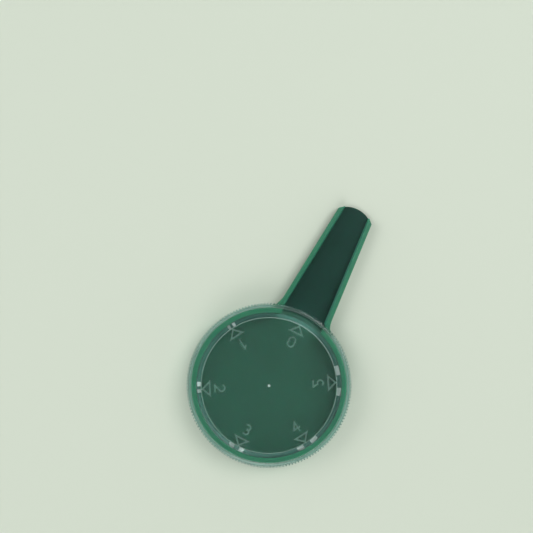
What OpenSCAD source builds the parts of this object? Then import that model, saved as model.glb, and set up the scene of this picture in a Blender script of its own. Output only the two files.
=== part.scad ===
// Dial seed sower: a shallow round cup with a pouring spout, and a clear cover that turns on it.
// Under the cover a ring of growing gates passes the mouth of the spout; the closed place is 0.
// The axis of the dial is Z, the table is Z = 0, and the spout points along +X.

/* [Cup] */
// Outside radius of the cup wall
cup_r = 35; // [32:0.5:45]
// Thickness of the cup wall
cup_wall = 1.9; // [1.5:0.1:2.5]
// Thickness of the floor under the cup and the spout
floor_t = 1.8; // [1.2:0.1:3]
// Height of the cup wall above the floor
wall_h = 12.7; // [11:0.1:18]

/* [Spout] */
// Distance from the axis of the dial to the nose of the spout
spout_reach = 90.5; // [75:0.5:120]
// Outside width of the spout where it leaves the cup
spout_w = 25.3; // [22:0.1:28]
// Outside width of the spout at its nose
tip_w = 16.5; // [11:0.5:18]
// Thickness of the spout walls at their top edge
spout_wall = 1.8; // [1.2:0.1:2.4]
// Lean of the inner faces of the spout walls, in degrees
wall_lean = 6; // [0:1:10]
// Height of the spout walls at the nose, from the table
tip_h = 5.2; // [4:0.1:6]
// Radius of the rounded nose, seen from above
nose_r = 12; // [10:0.5:18]
// Radius of the fillets between the spout and the cup
root_fillet = 12; // [4:0.5:16]

/* [Cover] */
// Thickness of the top plate
plate_t = 1.6; // [1.2:0.1:2.5]
// Length of the skirt, from the top of the plate
skirt_len = 6.9; // [6:0.1:8]
// Thickness of the skirt between its ribs and the cup
skirt_wall = 1; // [0.8:0.1:1.5]
// Number of grip ribs around the skirt
rib_count = 160; // [60:1:200]
// Height of the grip ribs
rib_rise = 0.9; // [0.4:0.1:1.2]
// Drop from the top of the plate to the shoulder where the ribs end
shoulder = 0.8; // [0.4:0.1:1.2]
// Thickness of the gate ring under the plate
ring_wall = 1.8; // [1.2:0.1:2.4]
// Radius of the moulding nub at the middle of the plate
nub_r = 0.6; // [0.4:0.1:1.5]

/* [Gates] */
// Width of the smallest gate at the floor
first_gate_w = 3.7; // [2.5:0.1:5]
// Width of the largest gate at the floor
last_gate_w = 13.7; // [10:0.1:15]
// Height of the smallest gate
first_gate_h = 2.2; // [1:0.1:2.6]
// Height of the largest gate
last_gate_h = 6.6; // [5:0.1:7]
// How late the gates grow wide: 1 grows by even steps
gate_growth = 1.4; // [1:0.1:2]
// Slope of the sides of a gate, in degrees from the floor
gate_slope = 60; // [55:1:75]

/* [Marks] */
// Height of a digit
digit_h = 5.2; // [4:0.1:6]
// Width of a digit
digit_w = 3.6; // [3:0.1:4]
// Width of the raised lines
line_w = 0.7; // [0.5:0.05:0.9]
// Rise of the digits and pointers above the plate
mark_rise = 0.35; // [0.2:0.05:0.6]
// Distance from the axis to the middle of a digit
digit_at = 22.3; // [18:0.1:23]
// Width of a pointer at its base
pointer_w = 7.7; // [5:0.1:9]
// Length of a pointer, from its base to its tip
pointer_l = 4.1; // [3:0.1:5]

/* [Fits] */
// Running clearance between the cover and the cup
run_gap = 0.3; // [0.2:0.05:0.4]
// Clearance between the cup wall and the skirt
skirt_gap = 0.6; // [0.5:0.05:0.8]
// How far the two snap beads reach past each other
bead_bite = 0.2; // [0.1:0.05:0.3]
// Distance from the top of the cup wall to the bead on it
bead_drop = 2; // [1.5:0.1:2.5]
// Height of the skirt above the spout walls
spout_clear = 1; // [0.6:0.1:1.5]

/* [Hidden] */
$fn = 96;
// Overshoot of the cutting shapes
over = 1;
// Depth that the marks and the gate ring are rooted in the plate
root = plate_t / 4;
// Depth that the fillets of the spout run into the cup wall
root_bite = 0.02;

cup_bore_r = cup_r - cup_wall;
wall_top = floor_t + wall_h;

plate_low = wall_top + run_gap;
plate_top = plate_low + plate_t;
skirt_low = plate_top - skirt_len;
skirt_bore_r = cup_r + skirt_gap;
rib_root_r = skirt_bore_r + skirt_wall;
cover_r = rib_root_r + rib_rise;
// The edge of the plate stands this far inside the feet of the ribs
rim_in = 0.05;

ring_r = cup_bore_r - run_gap;
ring_bore_r = ring_r - ring_wall;
ring_low = floor_t + run_gap;

bead_r = (skirt_gap + bead_bite) / 2;
cup_bead_z = wall_top - bead_drop;
skirt_bead_z = cup_bead_z - sqrt(pow(2 * bead_r + run_gap, 2) - pow(skirt_gap, 2));

spout_h = skirt_low - spout_clear;
taper = (spout_w - tip_w) / 2 / (spout_reach - cup_r);
spout_turn = atan(taper);
lean_in = (spout_h - floor_t) * tan(wall_lean);
port_half = spout_w / 2 - spout_wall - lean_in;
channel_start = sqrt(cup_r * cup_r - port_half * port_half) + cup_wall / 8;

steps = 6;
step_angle = 360 / steps;

// Half the outside width of the spout at a distance from the axis
function spout_half(x) = spout_w / 2 - (x - cup_r) * taper;

// Width and height of a gate, which grow from the first gate to the last
function gate_share(n) = (n - 1) / (steps - 2);
function gate_w(n) = first_gate_w + (last_gate_w - first_gate_w) * pow(gate_share(n), gate_growth);
function gate_h(n) = first_gate_h + (last_gate_h - first_gate_h) * gate_share(n);

// ---------- cup and spout ----------

// Fills the corner between the side of the spout and the cup with a concave arc
module root_corner() {
    normal = [sin(spout_turn), cos(spout_turn)];
    along = [cos(spout_turn), -sin(spout_turn)];
    side = normal * [cup_r, spout_w / 2] + root_fillet;
    reach = cup_r + root_fillet - root_bite;
    centre = side * normal + sqrt(reach * reach - side * side) * along;
    difference() {
        polygon([[0, 0], centre * (cup_r / reach), centre, centre - root_fillet * normal]);
        translate(centre)
            circle(r = root_fillet);
    }
}

module spout_plan() {
    far = spout_reach + over;
    intersection() {
        polygon([
            [0, -spout_half(0)],
            [far, -spout_half(far)],
            [far, spout_half(far)],
            [0, spout_half(0)]
        ]);
        union() {
            translate([0, -spout_w])
                square([spout_reach - nose_r, 2 * spout_w]);
            translate([spout_reach - nose_r, 0])
                circle(r = nose_r);
        }
    }
    root_corner();
    mirror([0, 1])
        root_corner();
}

// The walls of the spout fall from the edge of the cover to the nose
module spout_block() {
    fall = atan((spout_h - tip_h) / (spout_reach - cover_r));
    difference() {
        linear_extrude(spout_h)
            spout_plan();
        translate([cover_r, -spout_w, spout_h])
            rotate([0, fall, 0])
                cube([2 * spout_reach, 2 * spout_w, spout_h]);
    }
}

// One level of the channel, as wide as the walls leave it there
module channel_level(z) {
    far = spout_reach + over;
    inset = spout_wall + (spout_h - z) * tan(wall_lean);
    translate([0, 0, z])
        linear_extrude(0.01)
            polygon([
                [channel_start, inset - spout_half(channel_start)],
                [far, inset - spout_half(far)],
                [far, spout_half(far) - inset],
                [channel_start, spout_half(channel_start) - inset]
            ]);
}

module spout_channel() {
    hull() {
        channel_level(floor_t);
        channel_level(spout_h + over);
    }
}

// The gap in the cup wall that feeds the spout, open from the floor to the top
module port() {
    translate([0, -port_half, floor_t])
        cube([cup_r + over, 2 * port_half, wall_h + over]);
}

// The snap bead on the cup wall ends a little short of the port on both sides
module cup_bead() {
    bead_start = asin(port_half / cup_r) + 3;
    rotate(bead_start)
        rotate_extrude(angle = 360 - 2 * bead_start)
            translate([cup_r, cup_bead_z])
                circle(r = bead_r, $fn = 24);
}

module sower_body()
    color([0.22, 0.52, 0.38])
        difference() {
            union() {
                cylinder(r = cup_r, h = wall_top);
                cup_bead();
                spout_block();
            }
            translate([0, 0, floor_t])
                cylinder(r = cup_bore_r, h = wall_h + over);
            port();
            spout_channel();
        }

// ---------- digits, drawn upright around their middle ----------

module stroke(from, to) {
    along = to - from;
    translate(from)
        rotate(atan2(along[1], along[0]))
            translate([-line_w / 2, -line_w / 2])
                square([norm(along) + line_w, line_w]);
}

// Part of a ring around a centre, from one angle to another
module bend(centre, r, from, to) {
    far = 2 * r;
    turn = to - from;
    translate(centre)
        rotate(from)
            intersection() {
                difference() {
                    circle(r = r + line_w / 2, $fn = 48);
                    circle(r = r - line_w / 2, $fn = 48);
                }
                polygon([[0, 0], for (i = [0:4]) far * [cos(i * turn / 4), sin(i * turn / 4)]]);
            }
}

// Half the size of the rectangle that a digit's centre lines fill
half_w = (digit_w - line_w) / 2;
half_h = (digit_h - line_w) / 2;

module digit_0() {
    straight = half_h - half_w;
    bend([0, straight], half_w, 0, 180);
    bend([0, -straight], half_w, 180, 360);
    for (side = [-1, 1])
        translate([side * half_w - line_w / 2, -straight])
            square([line_w, 2 * straight]);
}

module digit_1() {
    flag = half_w * 0.6;
    stroke([0, -half_h], [0, half_h]);
    stroke([0, half_h], [-flag, half_h - flag]);
}

module digit_2() {
    bowl = [0, half_h - half_w];
    bowl_end = -35;
    bowl_start = 160;
    bend(bowl, half_w, bowl_end, bowl_start);
    stroke(bowl + half_w * [cos(bowl_end), sin(bowl_end)], [-half_w, -half_h]);
    stroke([-half_w, -half_h], [half_w, -half_h]);
}

module digit_3() {
    bowl_r = half_h / 2 + line_w / 8;
    bowl_end = 140;
    waist = 98;
    bend([half_w - bowl_r, half_h - bowl_r], bowl_r, -waist, bowl_end);
    bend([half_w - bowl_r, bowl_r - half_h], bowl_r, -bowl_end, waist);
}

module digit_4() {
    stem = half_w * 0.5;
    bar_y = -half_h * 0.35;
    stroke([stem, -half_h], [stem, half_h]);
    stroke([stem, half_h], [-half_w, bar_y]);
    stroke([-half_w, bar_y], [half_w, bar_y]);
}

module digit_5() {
    bowl_r = half_h * 0.58;
    bowl = [half_w - bowl_r, bowl_r - half_h];
    bowl_end = -140;
    bowl_start = 110;
    flag = half_w * 0.8;
    bend(bowl, bowl_r, bowl_end, bowl_start);
    stroke(bowl + bowl_r * [cos(bowl_start), sin(bowl_start)], [-half_w, half_h]);
    stroke([-half_w, half_h], [flag, half_h]);
}

module digit(n) {
    if (n == 0) digit_0();
    if (n == 1) digit_1();
    if (n == 2) digit_2();
    if (n == 3) digit_3();
    if (n == 4) digit_4();
    if (n == 5) digit_5();
}

// Outline of a triangle whose tip ends over the inside of the gate ring
module pointer() {
    tip = ring_bore_r - line_w / 2;
    slant = atan2(pointer_w / 2, pointer_l);
    tip_in = line_w / sin(slant);
    hole_w = (pointer_l - line_w - tip_in) * tan(slant);
    difference() {
        polygon([[tip, 0], [tip - pointer_l, pointer_w / 2], [tip - pointer_l, -pointer_w / 2]]);
        polygon([
            [tip - tip_in, 0],
            [tip - pointer_l + line_w, hole_w],
            [tip - pointer_l + line_w, -hole_w]
        ]);
    }
}

// ---------- cover ----------

// The ribbed outline of the skirt: the foot and the crest of a rib as shares of its pitch
module rib_outline() {
    pitch = 360 / rib_count;
    foot = 0.4;
    crest = 0.15;
    rib = [[rib_root_r, -foot], [cover_r, -crest], [cover_r, crest], [rib_root_r, foot]];
    polygon([
        for (i = [0:rib_count - 1])
            for (corner = rib)
                corner[0] * [cos((i + corner[1]) * pitch), sin((i + corner[1]) * pitch)]
    ]);
}

module skirt() {
    difference() {
        translate([0, 0, skirt_low])
            linear_extrude(skirt_len - shoulder)
                rib_outline();
        translate([0, 0, skirt_low - over])
            cylinder(r = skirt_bore_r, h = plate_low - skirt_low + over);
    }
}

module skirt_bead() {
    rotate_extrude()
        intersection() {
            translate([skirt_bore_r, skirt_bead_z])
                circle(r = bead_r, $fn = 24);
            translate([0, skirt_bead_z - bead_r])
                square([skirt_bore_r + skirt_wall / 2, 2 * bead_r]);
        }
}

// The top plate, with its edge rounded down to the shoulder of the ribs
module plate() {
    rim_r = rib_root_r - rim_in;
    rotate_extrude() {
        translate([0, plate_low])
            square([rim_r - shoulder, plate_t]);
        translate([0, plate_low])
            square([rim_r, plate_t - shoulder]);
        translate([rim_r - shoulder, plate_top - shoulder])
            circle(r = shoulder, $fn = 32);
    }
}

module gate(n) {
    run = gate_h(n) / tan(gate_slope);
    rotate(n * step_angle)
        translate([ring_bore_r - over, 0, ring_low])
            rotate([90, 0, 90])
                linear_extrude(ring_wall + 2 * over)
                    polygon([
                        [-gate_w(n) / 2, 0],
                        [gate_w(n) / 2, 0],
                        [gate_w(n) / 2 - run, gate_h(n)],
                        [run - gate_w(n) / 2, gate_h(n)]
                    ]);
}

module gate_ring() {
    difference() {
        translate([0, 0, ring_low])
            cylinder(r = ring_r, h = plate_low - ring_low + root);
        translate([0, 0, ring_low - over])
            cylinder(r = ring_bore_r, h = plate_low - ring_low + over);
        for (n = [1:steps - 1])
            gate(n);
    }
}

module marks() {
    translate([0, 0, plate_top - root])
        linear_extrude(mark_rise + root)
            for (n = [0:steps - 1])
                rotate(n * step_angle) {
                    translate([digit_at, 0])
                        rotate(90)
                            digit(n);
                    pointer();
                }
}

module nub() {
    translate([0, 0, plate_top - root])
        cylinder(r = nub_r, h = mark_rise + root);
}

module dial_cover()
    color([0.82, 0.88, 0.86, 0.4])
        union() {
            plate();
            skirt();
            skirt_bead();
            gate_ring();
            marks();
            nub();
        }

sower_body();
dial_cover();
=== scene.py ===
"""Dial seed sower: a green cup with a pouring spout, and a clear cover that turns on it."""

import math

import bmesh
import bpy
from mathutils import Matrix, Vector


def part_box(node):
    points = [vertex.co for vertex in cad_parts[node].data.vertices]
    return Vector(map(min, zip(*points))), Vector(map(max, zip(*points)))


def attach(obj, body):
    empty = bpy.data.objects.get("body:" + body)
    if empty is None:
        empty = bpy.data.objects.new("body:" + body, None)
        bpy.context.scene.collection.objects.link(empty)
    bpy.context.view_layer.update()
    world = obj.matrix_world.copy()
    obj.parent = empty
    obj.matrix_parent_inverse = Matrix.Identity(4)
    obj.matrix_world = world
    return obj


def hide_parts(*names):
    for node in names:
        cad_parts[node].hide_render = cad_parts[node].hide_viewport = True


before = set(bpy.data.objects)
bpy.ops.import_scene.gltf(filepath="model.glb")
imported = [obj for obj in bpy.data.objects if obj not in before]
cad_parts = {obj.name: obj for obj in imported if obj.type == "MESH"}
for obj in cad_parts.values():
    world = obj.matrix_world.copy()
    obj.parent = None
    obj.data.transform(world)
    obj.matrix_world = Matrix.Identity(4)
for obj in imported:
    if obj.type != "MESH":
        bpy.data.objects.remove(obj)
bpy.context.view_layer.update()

# ---------------------------------------------------------------------------
# Green body: the cup and its pouring spout, one moulding in slightly translucent green plastic.
# A round floor carries a C-shaped wall, which opens towards the spout through a full-height gap,
# and the spout is an open trough whose walls narrow and fall towards a rounded nose.

mm = 0.001
body_low, body_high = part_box("sower_body")
cup_r = 35.0
bore_r = 33.1
wall_top = body_high.z / mm
floor_top = 1.8
cover_edge = 37.5

nose_x = body_high.x / mm
nose_r = 12.0
spout_half = 12.65
nose_half = 8.25
spout_top = 8.5
nose_top = 5.2
spout_wall = 1.8
wall_lean = math.radians(6)
root_fillet = 12.0

bead_z = 12.5
bead_rise = 0.4
bead_beside_port = 3
edge_round = 0.4
# The heights between which the dark floor turns into the walls, painted lighter for the light that shines
# through them
painted_light_low, painted_light_high = 1.82, 2.4
# What counts as the same place, a corner to round, a smooth edge, and a large flat face in mm2
near = 0.01
corner_angle = math.radians(40)
smooth_angle = math.radians(32)
flat_area = 30

taper = (spout_half - nose_half) / (nose_x - cup_r)
fall = (spout_top - nose_top) / (nose_x - cover_edge)
lean_in = (spout_top - floor_top) * math.tan(wall_lean)
port_half = spout_half - spout_wall - lean_in


def side_y(x):
    """Half the outside width of the spout at x."""
    return spout_half - (x - cup_r) * taper


def channel_y(x):
    """Half the width of the spout's floor at x."""
    return side_y(x) - spout_wall - lean_in


def on_nose(half_at):
    """The point where a side line of the spout meets the round of the nose."""
    x = nose_x
    for _ in range(30):
        x = nose_x - nose_r + math.sqrt(nose_r**2 - half_at(x) ** 2)
    return Vector((x, half_at(x), 0))


def turned_to(centre, start, end):
    """The angle that turns start into end about centre, the short way round."""
    a, b = start - centre, end - centre
    return math.atan2(a.x * b.y - a.y * b.x, a.x * b.x + a.y * b.y)


def arc(bm, start, centre, angle, steps):
    """Draws an arc of edges from the vertex start, and gives its new vertices in order."""
    made = []
    for _ in range(steps):
        bmesh.ops.spin(bm, geom=[start], cent=centre, axis=(0, 0, 1), angle=angle / steps, steps=1)
        bm.verts.ensure_lookup_table()
        start = bm.verts[-1]
        made.append(start)
    return made


def raised(bm, faces, height, on_solid=True):
    """Extrudes faces straight up and gives them at their new height. On a solid the old ones go."""
    made = bmesh.ops.extrude_face_region(bm, geom=faces)["geom"]
    moved = [v for v in made if isinstance(v, bmesh.types.BMVert)]
    bmesh.ops.translate(bm, verts=moved, vec=(0, 0, height))
    if on_solid:
        bmesh.ops.delete(bm, geom=faces, context="FACES")
    return [f for f in made if isinstance(f, bmesh.types.BMFace)]


def outer_corners(bm):
    """The edges where two faces meet outwards at a sharp angle."""
    bm.normal_update()
    return [e for e in bm.edges if e.is_convex and e.calc_face_angle() > corner_angle]


def finished(bm, name):
    """Makes the object in metres, with large faces flat and the rest smooth up to sharp edges."""
    bmesh.ops.recalc_face_normals(bm, faces=bm.faces)
    bmesh.ops.scale(bm, vec=(mm, mm, mm), verts=bm.verts)
    for face in bm.faces:
        face.smooth = face.calc_area() < flat_area * mm * mm
    for edge in bm.edges:
        edge.smooth = edge.calc_face_angle(0) < smooth_angle
    mesh = bpy.data.meshes.new(name)
    bm.to_mesh(mesh)
    bm.free()
    piece = bpy.data.objects.new(name, mesh)
    bpy.context.scene.collection.objects.link(piece)
    return piece


# The regions of the plan, kept in the material index of its faces until the walls are up.
WALL, WEB, FLOOR = 0, 1, 2


def half_plan(bm):
    """The body seen from above for y >= 0, as three regions: cup wall, spout wall and floor."""
    normal = Vector((taper, 1, 0)).normalized()
    along = Vector((1, -taper, 0)).normalized()
    side = normal.dot(Vector((cup_r, spout_half, 0))) + root_fillet
    reach = cup_r + root_fillet
    fillet_centre = side * normal + math.sqrt(reach**2 - side**2) * along
    on_cup = fillet_centre * (cup_r / reach)
    on_side = fillet_centre - root_fillet * normal
    port_out = Vector((math.sqrt(cup_r**2 - port_half**2), port_half, 0))
    port_in = Vector((math.sqrt(bore_r**2 - port_half**2), port_half, 0))

    back_steps, port_steps = 64, 6
    steps = back_steps + port_steps
    back = bm.verts.new((-cup_r, 0, 0))
    origin = Vector((0, 0, 0))
    outer = [back, *arc(bm, back, origin, turned_to(origin, back.co, on_cup), back_steps)]
    outer += arc(bm, outer[-1], origin, turned_to(origin, on_cup, port_out), port_steps)
    back_in = bm.verts.new((-bore_r, 0, 0))
    inner = [back_in, *arc(bm, back_in, origin, turned_to(origin, back_in.co, port_in), steps)]
    for i in range(steps):
        bm.faces.new((outer[i], outer[i + 1], inner[i + 1], inner[i])).material_index = WALL

    fillet_turn = turned_to(fillet_centre, on_cup, on_side)
    fillet = arc(bm, outer[back_steps], fillet_centre, fillet_turn, 10)
    nose_centre = Vector((nose_x - nose_r, 0, 0))
    nose_out, nose_in = on_nose(side_y), on_nose(channel_y)
    tip = Vector((nose_x, 0, 0))
    corner = bm.verts.new(nose_out)
    wall_end = [corner, *arc(bm, corner, nose_centre, turned_to(nose_centre, nose_out, nose_in), 3)]
    floor_end = arc(bm, wall_end[-1], nose_centre, turned_to(nose_centre, nose_in, tip), 8)
    channel_x = cup_r + 1
    start = bm.verts.new((channel_x, channel_y(channel_x), 0))

    web = [*fillet, *wall_end, start, *reversed(outer[back_steps:])]
    bm.faces.new(web).material_index = WEB
    floor = [*inner, outer[-1], start, wall_end[-1], *floor_end]
    bm.faces.new(floor).material_index = FLOOR


def sower_body():
    bm = bmesh.new()
    half_plan(bm)
    half = bm.verts[:] + bm.edges[:] + bm.faces[:]
    bmesh.ops.bisect_plane(bm, geom=half, plane_co=(cover_edge, 0, 0), plane_no=(1, 0, 0))
    half = bm.verts[:] + bm.edges[:] + bm.faces[:]
    bmesh.ops.mirror(bm, geom=half, matrix=Matrix(), merge_dist=0.001, axis="Y")
    shared = [e for e in bm.edges if len(e.link_faces) == 2]
    inside = [e for e in shared if all(f.material_index == FLOOR for f in e.link_faces)]
    bmesh.ops.dissolve_edges(bm, edges=inside, use_verts=True)

    tops = raised(bm, bm.faces[:], floor_top, on_solid=False)
    walls = raised(bm, [f for f in tops if f.material_index != FLOOR], spout_top - floor_top)
    rims = [v for v in {v for f in walls for v in f.verts} if v.co.x > cup_r]
    for v in rims:
        if abs(abs(v.co.y) - channel_y(v.co.x)) < near:
            v.co.y += math.copysign(lean_in, v.co.y)
        v.co.z -= max(0, v.co.x - cover_edge) * fall
    cup = [f for f in walls if f.material_index == WALL]
    level = spout_top
    for z in (bead_z - bead_rise, bead_z, bead_z + bead_rise, wall_top):
        cup = raised(bm, cup, z - level)
        level = z
    bead_start = math.asin(port_half / cup_r) + math.radians(bead_beside_port)
    for v in bm.verts:
        on_outside = v.co.xy.length > cup_r - near and abs(math.atan2(v.co.y, v.co.x)) > bead_start
        if on_outside and abs(v.co.z - bead_z) < near:
            v.co.xy *= (cup_r + bead_rise) / cup_r

    # The faces of the spout's walls that look at each other take the second material, painted lighter
    # still for the light that shines through the walls.
    bmesh.ops.recalc_face_normals(bm, faces=bm.faces)
    for face in bm.faces:
        middle = face.calc_center_median()
        faces_in = face.normal.y * middle.y < -0.5 * abs(middle.y)
        face.material_index = int(faces_in and middle.x > cup_r)
    on_bead = {v for v in bm.verts if abs(v.co.z - bead_z) < bead_rise + near}
    bmesh.ops.bevel(
        bm,
        geom=[e for e in outer_corners(bm) if not on_bead.issuperset(e.verts)],
        offset=edge_round,
        offset_type="OFFSET",
        segments=3,
        profile=0.5,
        affect="EDGES",
        clamp_overlap=True,
        material=-1,
    )
    return finished(bm, "cup_and_spout")


def green_plastic(name, wall):
    """Green plastic, glossier outside the cup, with painted light: walls painted lighter than the floors
    for light shining through them, spout floor painted darker as shade.
    """
    mat = bpy.data.materials.new(name)
    mat.use_nodes = True
    nodes, links = mat.node_tree.nodes, mat.node_tree.links
    shader = nodes["Principled BSDF"]
    place = nodes.new("ShaderNodeTexCoord")
    apart = nodes.new("ShaderNodeSeparateXYZ")
    links.new(place.outputs["Object"], apart.inputs[0])
    height = nodes.new("ShaderNodeMapRange")
    height.interpolation_type = "SMOOTHSTEP"
    height.inputs["From Min"].default_value = painted_light_low * mm
    height.inputs["From Max"].default_value = painted_light_high * mm
    links.new(apart.outputs["Z"], height.inputs["Value"])
    flow = nodes.new("ShaderNodeTexNoise")
    flow.inputs["Scale"].default_value = 45
    flow.inputs["Detail"].default_value = 3
    links.new(place.outputs["Object"], flow.inputs["Vector"])
    reach = nodes.new("ShaderNodeVectorMath")
    reach.operation = "LENGTH"
    links.new(place.outputs["Object"], reach.inputs[0])
    outside = nodes.new("ShaderNodeMapRange")
    outside.interpolation_type = "SMOOTHSTEP"
    outside.inputs["From Min"].default_value = bore_r * mm
    outside.inputs["From Max"].default_value = cup_r * mm
    links.new(reach.outputs["Value"], outside.inputs["Value"])
    # Painted shade: beyond the cup's bore the floor colour turns darker, on the spout's floor and the
    # foot of the outside.
    floors = nodes.new("ShaderNodeMix")
    floors.data_type = "RGBA"
    floors.inputs["A"].default_value = (0.0132, 0.1, 0.063, 1)
    floors.inputs["B"].default_value = (0.013, 0.055, 0.042, 1)
    links.new(outside.outputs["Result"], floors.inputs["Factor"])
    # Painted light: above the floor the walls take a lighter colour, for the light that shines through
    # them.
    colour = nodes.new("ShaderNodeMix")
    colour.data_type = "RGBA"
    colour.inputs["B"].default_value = (*wall, 1)
    links.new(floors.outputs["Result"], colour.inputs["A"])
    links.new(height.outputs["Result"], colour.inputs["Factor"])
    mottle = nodes.new("ShaderNodeMix")
    mottle.data_type = "RGBA"
    mottle.blend_type = "MULTIPLY"
    mottle.inputs["Factor"].default_value = 1
    shade = nodes.new("ShaderNodeMapRange")
    shade.inputs["To Min"].default_value = 0.85
    shade.inputs["To Max"].default_value = 1.15
    links.new(flow.outputs["Fac"], shade.inputs["Value"])
    links.new(colour.outputs["Result"], mottle.inputs["A"])
    links.new(shade.outputs["Result"], mottle.inputs["B"])
    links.new(mottle.outputs["Result"], shader.inputs["Base Color"])
    dull = nodes.new("ShaderNodeMapRange")
    dull.inputs["To Min"].default_value = 0.32
    dull.inputs["To Max"].default_value = 0.2
    links.new(outside.outputs["Result"], dull.inputs["Value"])
    links.new(dull.outputs["Result"], shader.inputs["Roughness"])
    skin = nodes.new("ShaderNodeTexNoise")
    skin.inputs["Scale"].default_value = 900
    links.new(place.outputs["Object"], skin.inputs["Vector"])
    bump = nodes.new("ShaderNodeBump")
    bump.inputs["Strength"].default_value = 0.08
    bump.inputs["Distance"].default_value = 0.2 * mm
    links.new(skin.outputs["Fac"], bump.inputs["Height"])
    links.new(bump.outputs["Normal"], shader.inputs["Normal"])
    shader.inputs["IOR"].default_value = 1.5
    shader.inputs["Subsurface Weight"].default_value = 0.9
    shader.inputs["Subsurface Radius"].default_value = (0.3, 1.0, 0.6)
    shader.inputs["Subsurface Scale"].default_value = 3 * mm
    return mat


body = sower_body()
body.data.materials.append(green_plastic("green_plastic", (0.038, 0.19, 0.116)))
# The second material is the same plastic with its walls painted lighter, as painted light through the
# spout's walls.
body.data.materials.append(green_plastic("green_spout_painted_light", (0.07, 0.34, 0.23)))
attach(body, "body")
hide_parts("sower_body")

# ---------------------------------------------------------------------------
# Dial cover: one clear moulding that turns on the cup. A flat plate carries a short ribbed skirt
# outside the cup wall, and a gate ring just inside it. Five gates of growing size are cut up into
# the ring's lower edge, and raised digits with outline pointers name them on top.

cover_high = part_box("dial_cover")[1]
plate_low = 14.8
plate_top = 16.4
rib_root = 36.6
rib_rise = 0.9
rib_count = 160
# One rib's outline from step to step of the spin, as shares of its rise, and where its upper end starts
rib_shape = (0.0, 0.27, 0.93, 1.0, 0.93, 0.27)
rib_top, rib_full = 15.6, 15.5
skirt_low = 9.5
skirt_bore = 35.6
skirt_bead_z = 11.58
ring_r = 32.8
ring_bore = 31.0
ring_low = 2.1
lower_round = 0.12
corner_round = 0.35
field_r = 33.0
ceiling_r = 29.5

# Width and height of the smallest and the largest gate, how the widths grow, and their ends' slope
gate_step = 60
gates = 5
first_gate = (3.7, 2.2)
last_gate = (13.7, 6.6)
gate_growth = 1.4
gate_slope = math.tan(math.radians(60))


def gate_rise(angle):
    """How far the ring's lower edge is cut up at an angle in degrees from the spout."""
    number = round(angle / gate_step) % (gates + 1)
    if number == 0:
        return 0
    share = (number - 1) / (gates - 1)
    width = first_gate[0] + (last_gate[0] - first_gate[0]) * share**gate_growth
    height = first_gate[1] + (last_gate[1] - first_gate[1]) * share
    off = (angle + 180 - number * gate_step) % 360 - 180
    beside = math.radians(abs(off)) * (ring_r + ring_bore) / 2
    return min(height, max(0, (width / 2 - beside) * gate_slope))


def rib_rise_at(step, z):
    """How far a rib stands out at a step of the spin and a height."""
    fade = min(1, max(0, (rib_top - z) / (rib_top - rib_full)))
    return rib_rise * rib_shape[step % len(rib_shape)] * fade


def cover_profile(bm):
    """The cover's section from the plate's flat top, round the skirt and the ring, to its underside.

    Each point is its radius, its height and the size of its rounding."""
    section = [
        (field_r, plate_top, 0),
        (rib_root, plate_top, 0.4),
        (rib_root, rib_top, 0),
        (rib_root, rib_full, 0),
        (rib_root, skirt_low, lower_round),
        (skirt_bore, skirt_low, lower_round),
        (skirt_bore, skirt_bead_z - bead_rise, 0.1),
        (skirt_bore - bead_rise, skirt_bead_z, 0.2),
        (skirt_bore, skirt_bead_z + bead_rise, 0.1),
        (skirt_bore, plate_low, 0.3),
        (ring_r, plate_low, 0.2),
        (ring_r, ring_low, lower_round),
        (ring_bore, ring_low, lower_round),
        (ring_bore, plate_low, corner_round),
        (ceiling_r, plate_low, 0),
    ]
    verts = [bm.verts.new((r, 0, z)) for r, z, _ in section]
    for a, b in zip(verts, verts[1:]):
        bm.edges.new((a, b))
    for size in sorted({s for _, _, s in section if s}):
        corners = [v for v, (_, _, s) in zip(verts, section) if s == size]
        bmesh.ops.bevel(
            bm,
            geom=corners,
            offset=size,
            segments=4,
            profile=0.5,
            affect="VERTICES",
            material=-1,
        )


def cover_shell():
    bm = bmesh.new()
    cover_profile(bm)
    steps = rib_count * len(rib_shape)
    bmesh.ops.spin(
        bm,
        geom=bm.verts[:] + bm.edges[:],
        cent=(0, 0, 0),
        axis=(0, 0, 1),
        angle=math.tau,
        steps=steps,
        use_merge=True,
    )
    for v in bm.verts:
        angle = math.degrees(math.atan2(v.co.y, v.co.x)) % 360
        radius = v.co.xy.length
        step = round(angle / 360 * steps)
        if radius > rib_root - lower_round - near and v.co.z < rib_top:
            v.co.xy *= 1 + rib_rise_at(step, v.co.z) / radius
        elif radius < ring_r + near and v.co.z < ring_low + lower_round + near:
            v.co.z += gate_rise(angle)
    bmesh.ops.holes_fill(bm, edges=[e for e in bm.edges if e.is_boundary], sides=0)
    return bm


line_w = 0.7
digit_w, digit_h = 3.6, 5.2
digit_at = 22.3
mark_top = cover_high.z / mm
mark_depth = 0.4
pointer_w, pointer_l = 7.7, 4.1
nub_r = 0.6

half_w, half_h = (digit_w - line_w) / 2, (digit_h - line_w) / 2
bowl_3 = half_h / 2 + line_w / 8
bowl_5 = half_h * 0.58
flag_1 = half_w * 0.6
stem_4 = half_w * 0.5
bar_4 = -half_h * 0.35


def straight(bm, start, end):
    """A flat line of the marks from start to end, with square ends."""
    start, end = Vector((*start, 0)), Vector((*end, 0))
    along = (end - start).normalized() * line_w / 2
    across = Vector((-along.y, along.x, 0))
    ends = [bm.verts.new(start - along + across), bm.verts.new(start - along - across)]
    edge = bm.edges.new(ends)
    made = bmesh.ops.extrude_edge_only(bm, edges=[edge])["geom"]
    moved = [v for v in made if isinstance(v, bmesh.types.BMVert)]
    bmesh.ops.translate(bm, verts=moved, vec=end - start + 2 * along)


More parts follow.
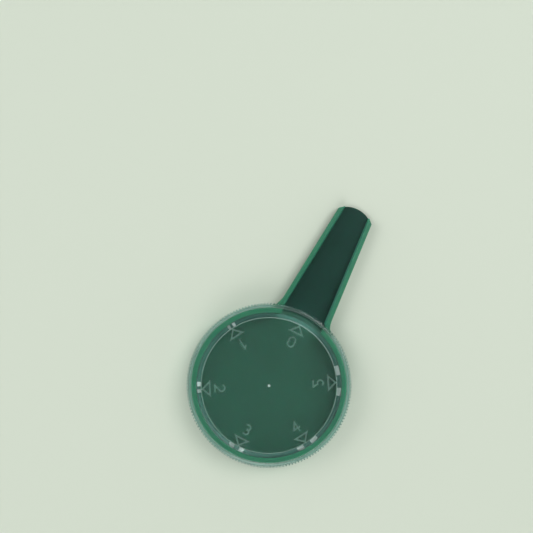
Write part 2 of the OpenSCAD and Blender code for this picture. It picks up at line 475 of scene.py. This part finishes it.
def curved(bm, centre, radius, first, last):
    """A flat line of the marks along an arc, between two angles in degrees."""
    toward = Vector((math.cos(math.radians(first)), math.sin(math.radians(first)), 0))
    centre = Vector((*centre, 0))
    ends = [bm.verts.new(centre + toward * (radius + side * line_w / 2)) for side in (-1, 1)]
    edge = bm.edges.new(ends)
    steps = max(6, round(abs(last - first) / 10))
    bmesh.ops.spin(
        bm,
        geom=[*ends, edge],
        cent=centre,
        axis=(0, 0, 1),
        angle=math.radians(last - first),
        steps=steps,
    )


def digit_0(bm):
    long = half_h - half_w
    curved(bm, (0, long), half_w, 0, 180)
    curved(bm, (0, -long), half_w, 180, 360)
    straight(bm, (half_w, -long), (half_w, long))
    straight(bm, (-half_w, -long), (-half_w, long))


def digit_1(bm):
    straight(bm, (0, -half_h), (0, half_h))
    straight(bm, (0, half_h), (-flag_1, half_h - flag_1))


def digit_2(bm):
    bowl = Vector((0, half_h - half_w))
    last = math.radians(-35)
    curved(bm, bowl, half_w, 160, -35)
    straight(bm, bowl + half_w * Vector((math.cos(last), math.sin(last))), (-half_w, -half_h))
    straight(bm, (-half_w, -half_h), (half_w, -half_h))


def digit_3(bm):
    curved(bm, (half_w - bowl_3, half_h - bowl_3), bowl_3, -98, 140)
    curved(bm, (half_w - bowl_3, bowl_3 - half_h), bowl_3, -140, 98)


def digit_4(bm):
    straight(bm, (stem_4, -half_h), (stem_4, half_h))
    straight(bm, (stem_4, half_h), (-half_w, bar_4))
    straight(bm, (-half_w, bar_4), (half_w, bar_4))


def digit_5(bm):
    bowl = Vector((half_w - bowl_5, bowl_5 - half_h))
    first = math.radians(110)
    curved(bm, bowl, bowl_5, -140, 110)
    straight(bm, bowl + bowl_5 * Vector((math.cos(first), math.sin(first))), (-half_w, half_h))
    straight(bm, (-half_w, half_h), (half_w * 0.8, half_h))


def pointer(bm):
    """An outline triangle whose tip ends over the inside of the gate ring."""
    tip = ring_bore - line_w / 2
    corners = ((tip, 0), (tip - pointer_l, pointer_w / 2), (tip - pointer_l, -pointer_w / 2))
    face = bm.faces.new([bm.verts.new((x, y, 0)) for x, y in corners])
    bm.normal_update()
    bmesh.ops.inset_region(bm, faces=[face], thickness=line_w, use_even_offset=True, use_boundary=True)
    bmesh.ops.delete(bm, geom=[face], context="FACES_ONLY")


def united(bm, other, crossing=False):
    """Joins two closed meshes into one with no walls left inside. Crossing: the first one cuts itself."""
    objects = []
    for one in (bm, other):
        mesh = bpy.data.meshes.new("part")
        one.to_mesh(mesh)
        one.free()
        thing = bpy.data.objects.new("part", mesh)
        bpy.context.scene.collection.objects.link(thing)
        objects.append(thing)
    join = objects[0].modifiers.new("join", "BOOLEAN")
    join.operation = "UNION"
    join.solver = "EXACT"
    join.use_self = crossing
    join.object = objects[1]
    shown = objects[0].evaluated_get(bpy.context.evaluated_depsgraph_get())
    made = bmesh.new()
    made.from_mesh(shown.to_mesh())
    for thing in objects:
        mesh = thing.data
        bpy.data.objects.remove(thing)
        bpy.data.meshes.remove(mesh)
    return made


def raised_marks():
    """Every digit with its pointer, and the nub at the middle, as closed solids rooted in the plate."""
    marks = bmesh.new()
    upright = Matrix.Rotation(math.pi / 2, 3, "Z")
    for number, digit in enumerate((digit_0, digit_1, digit_2, digit_3, digit_4, digit_5)):
        one = bmesh.new()
        digit(one)
        bmesh.ops.rotate(one, verts=one.verts, cent=(0, 0, 0), matrix=upright)
        bmesh.ops.translate(one, verts=one.verts, vec=(digit_at, 0, 0))
        pointer(one)
        turn = Matrix.Rotation(math.radians(number * gate_step), 3, "Z")
        bmesh.ops.rotate(one, verts=one.verts, cent=(0, 0, 0), matrix=turn)
        kept = bpy.data.meshes.new("digit")
        one.to_mesh(kept)
        one.free()
        marks.from_mesh(kept)
        bpy.data.meshes.remove(kept)
    nub = bmesh.new()
    bmesh.ops.create_circle(nub, cap_ends=True, segments=24, radius=nub_r)
    for flat in (marks, nub):
        bmesh.ops.translate(flat, verts=flat.verts, vec=(0, 0, plate_top - mark_depth))
        raised(flat, flat.faces[:], mark_top - plate_top + mark_depth, on_solid=False)
        bmesh.ops.recalc_face_normals(flat, faces=flat.faces)
    return united(marks, nub, crossing=True)


def clear_plastic(name, roughness, clear, tint):
    """Clear polystyrene that lets lamps through to what lies under it."""
    mat = bpy.data.materials.new(name)
    mat.use_nodes = True
    nodes, links = mat.node_tree.nodes, mat.node_tree.links
    shader = nodes["Principled BSDF"]
    shader.inputs["Base Color"].default_value = (*tint, 1)
    shader.inputs["Transmission Weight"].default_value = clear
    shader.inputs["IOR"].default_value = 1.57
    shader.inputs["Roughness"].default_value = roughness
    place = nodes.new("ShaderNodeTexCoord")
    swirl = nodes.new("ShaderNodeTexNoise")
    swirl.inputs["Scale"].default_value = 60
    links.new(place.outputs["Object"], swirl.inputs["Vector"])
    bump = nodes.new("ShaderNodeBump")
    bump.inputs["Strength"].default_value = 0.015
    bump.inputs["Distance"].default_value = 0.3 * mm
    links.new(swirl.outputs["Fac"], bump.inputs["Height"])
    links.new(bump.outputs["Normal"], shader.inputs["Normal"])
    through = nodes.new("ShaderNodeBsdfTransparent")
    through.inputs["Color"].default_value = (0.97, 1, 0.99, 1)
    path = nodes.new("ShaderNodeLightPath")
    mix = nodes.new("ShaderNodeMixShader")
    links.new(path.outputs["Is Shadow Ray"], mix.inputs["Fac"])
    links.new(shader.outputs["BSDF"], mix.inputs[1])
    links.new(through.outputs["BSDF"], mix.inputs[2])
    links.new(mix.outputs["Shader"], nodes["Material Output"].inputs["Surface"])
    return mat


# The roughness, clearness and colour of each finish on the cover
glass = (0.78, 0.87, 0.85)
finishes = {
    "clear_plastic": (0.03, 1, glass),
    "soft_marks": (0.35, 0.93, (0.55, 0.85, 0.78)),
    # Painted light: the ring's lower edge is tinted teal for the veil of light seen inside the ring.
    "ring_edge_painted_veil": (0.1, 0.92, (0.46, 0.8, 0.8)),
    # Painted glints: the gates' ends and the nub's top are half white diffuse.
    "painted_glints": (0.5, 0.5, glass),
    # Painted shade: the skirt's lower edge is tinted dark, for the shade seen down through the skirt.
    "skirt_edge_painted_shade": (0.06, 0.97, (0.18, 0.45, 0.42)),
    # Painted highlight: the ring's inner corner is whitened to brighten the thin line of light along it.
    "ring_corner_painted_highlight": (0.2, 0.81, (0.75, 0.95, 0.9)),
}
finish_index = {name: index for index, name in enumerate(finishes)}

shell = cover_shell()
bmesh.ops.recalc_face_normals(shell, faces=shell.faces)
cover_mesh = united(shell, raised_marks())
bmesh.ops.dissolve_degenerate(cover_mesh, dist=0.0005, edges=cover_mesh.edges)
cover_mesh.normal_update()
# The gates' ends and the nub's top are frosted and whitened as painted glints; the ring's lower edge is
# tinted as a painted veil, its inner corner whitened as a painted highlight, and the skirt's lower edge
# darkened as painted shade.
for face in cover_mesh.faces:
    place = face.calc_center_median()
    radius = place.xy.length
    aside = abs(face.normal.cross(place).z) / radius
    on_ring_edge = ring_bore < radius < ring_r and place.z < plate_low and face.normal.z < -0.3
    in_corner = ring_bore - corner_round < radius < ring_bore and 0 < plate_low - place.z < corner_round
    on_marks = place.z > plate_top + near
    finish = "clear_plastic"
    if on_ring_edge and aside > 0.5 or on_marks and radius < nub_r:
        finish = "painted_glints"
    elif on_ring_edge:
        finish = "ring_edge_painted_veil"
    elif radius > skirt_bore and face.normal.z < -0.5:
        finish = "skirt_edge_painted_shade"
    elif on_marks:
        finish = "soft_marks"
    elif in_corner:
        finish = "ring_corner_painted_highlight"
    face.material_index = finish_index[finish]
cover = finished(cover_mesh, "dial_cover_clear")
for name, (roughness, clear, tint) in finishes.items():
    cover.data.materials.append(clear_plastic(name, roughness, clear, tint))
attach(cover, "dial")
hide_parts("dial_cover")

# ---------------------------------------------------------------------------
# Floor, light and camera: a plain pale table under three large soft lamps, the strongest at the
# photo's upper right, and a camera straight above that frames 533 pixels as the photo does.

# The photo's side and the place of the dial's axis in pixels, and millimetres to a pixel
photo_side = 533
photo_axis = (269.0, 385.8)
photo_mm = 0.4529
spout_turn = math.radians(62.75)
camera_up = 600.0
sensor = 36

bpy.ops.mesh.primitive_plane_add(size=3, location=(0, 0, body_low.z))
floor = bpy.context.object
floor.name = "table"
paint = bpy.data.materials.new("table")
paint.use_nodes = True
shader = paint.node_tree.nodes["Principled BSDF"]
shader.inputs["Base Color"].default_value = (0.615, 0.665, 0.57, 1)
shader.inputs["Roughness"].default_value = 0.6
floor.data.materials.append(paint)

right = Vector((math.cos(spout_turn), -math.sin(spout_turn), 0))
up = Vector((math.sin(spout_turn), math.cos(spout_turn), 0))
off_right = (photo_side / 2 - photo_axis[0]) * photo_mm
off_up = (photo_axis[1] - photo_side / 2) * photo_mm
aim = (off_right * right + off_up * up) * mm

camera = bpy.data.objects.new("camera", bpy.data.cameras.new("camera"))
bpy.context.scene.collection.objects.link(camera)
bpy.context.scene.camera = camera
camera.data.sensor_width = sensor
camera.data.lens = sensor * camera_up / (photo_side * photo_mm)
camera.location = aim + Vector((0, 0, cover_high.z + camera_up * mm))
camera.rotation_euler = (0, 0, -spout_turn)

# Each lamp's name, size in metres, watts and place from the middle of the picture
lamps = (
    ("key_lamp", 0.9, 10, 0.7 * right + 0.46 * up + Vector((0, 0, 1.25))),
    ("left_lamp", 1.0, 6.5, -0.85 * right + 0.3 * up + Vector((0, 0, 1.15))),
    ("front_lamp", 1.0, 5.5, -0.1 * right - 0.9 * up + Vector((0, 0, 1.15))),
)
# No lamp is seen through the cover, where its image would turn the clear skirt grey.
for name, size, power, place in lamps:
    lamp = bpy.data.objects.new(name, bpy.data.lights.new(name, "AREA"))
    bpy.context.scene.collection.objects.link(lamp)
    lamp.data.shape = "DISK"
    lamp.data.size = size
    lamp.data.energy = power
    lamp.visible_transmission = False
    lamp.location = aim + place
    lamp.rotation_euler = (-place).to_track_quat("-Z", "Y").to_euler()

world = bpy.data.worlds.new("room")
bpy.context.scene.world = world
world.use_nodes = True
nodes, links = world.node_tree.nodes, world.node_tree.links
facing = nodes.new("ShaderNodeTexCoord")
parts = nodes.new("ShaderNodeSeparateXYZ")
ceiling = nodes.new("ShaderNodeMapRange")
ceiling.inputs["From Min"].default_value = 0.2
ceiling.inputs["From Max"].default_value = 0.9
ceiling.inputs["To Min"].default_value = 0.75
ceiling.inputs["To Max"].default_value = 0.12
links.new(facing.outputs["Generated"], parts.inputs[0])
links.new(parts.outputs["Z"], ceiling.inputs["Value"])
links.new(ceiling.outputs["Result"], nodes["Background"].inputs["Strength"])
nodes["Background"].inputs["Color"].default_value = (0.92, 1, 0.94, 1)

bpy.context.scene.view_settings.view_transform = "Standard"
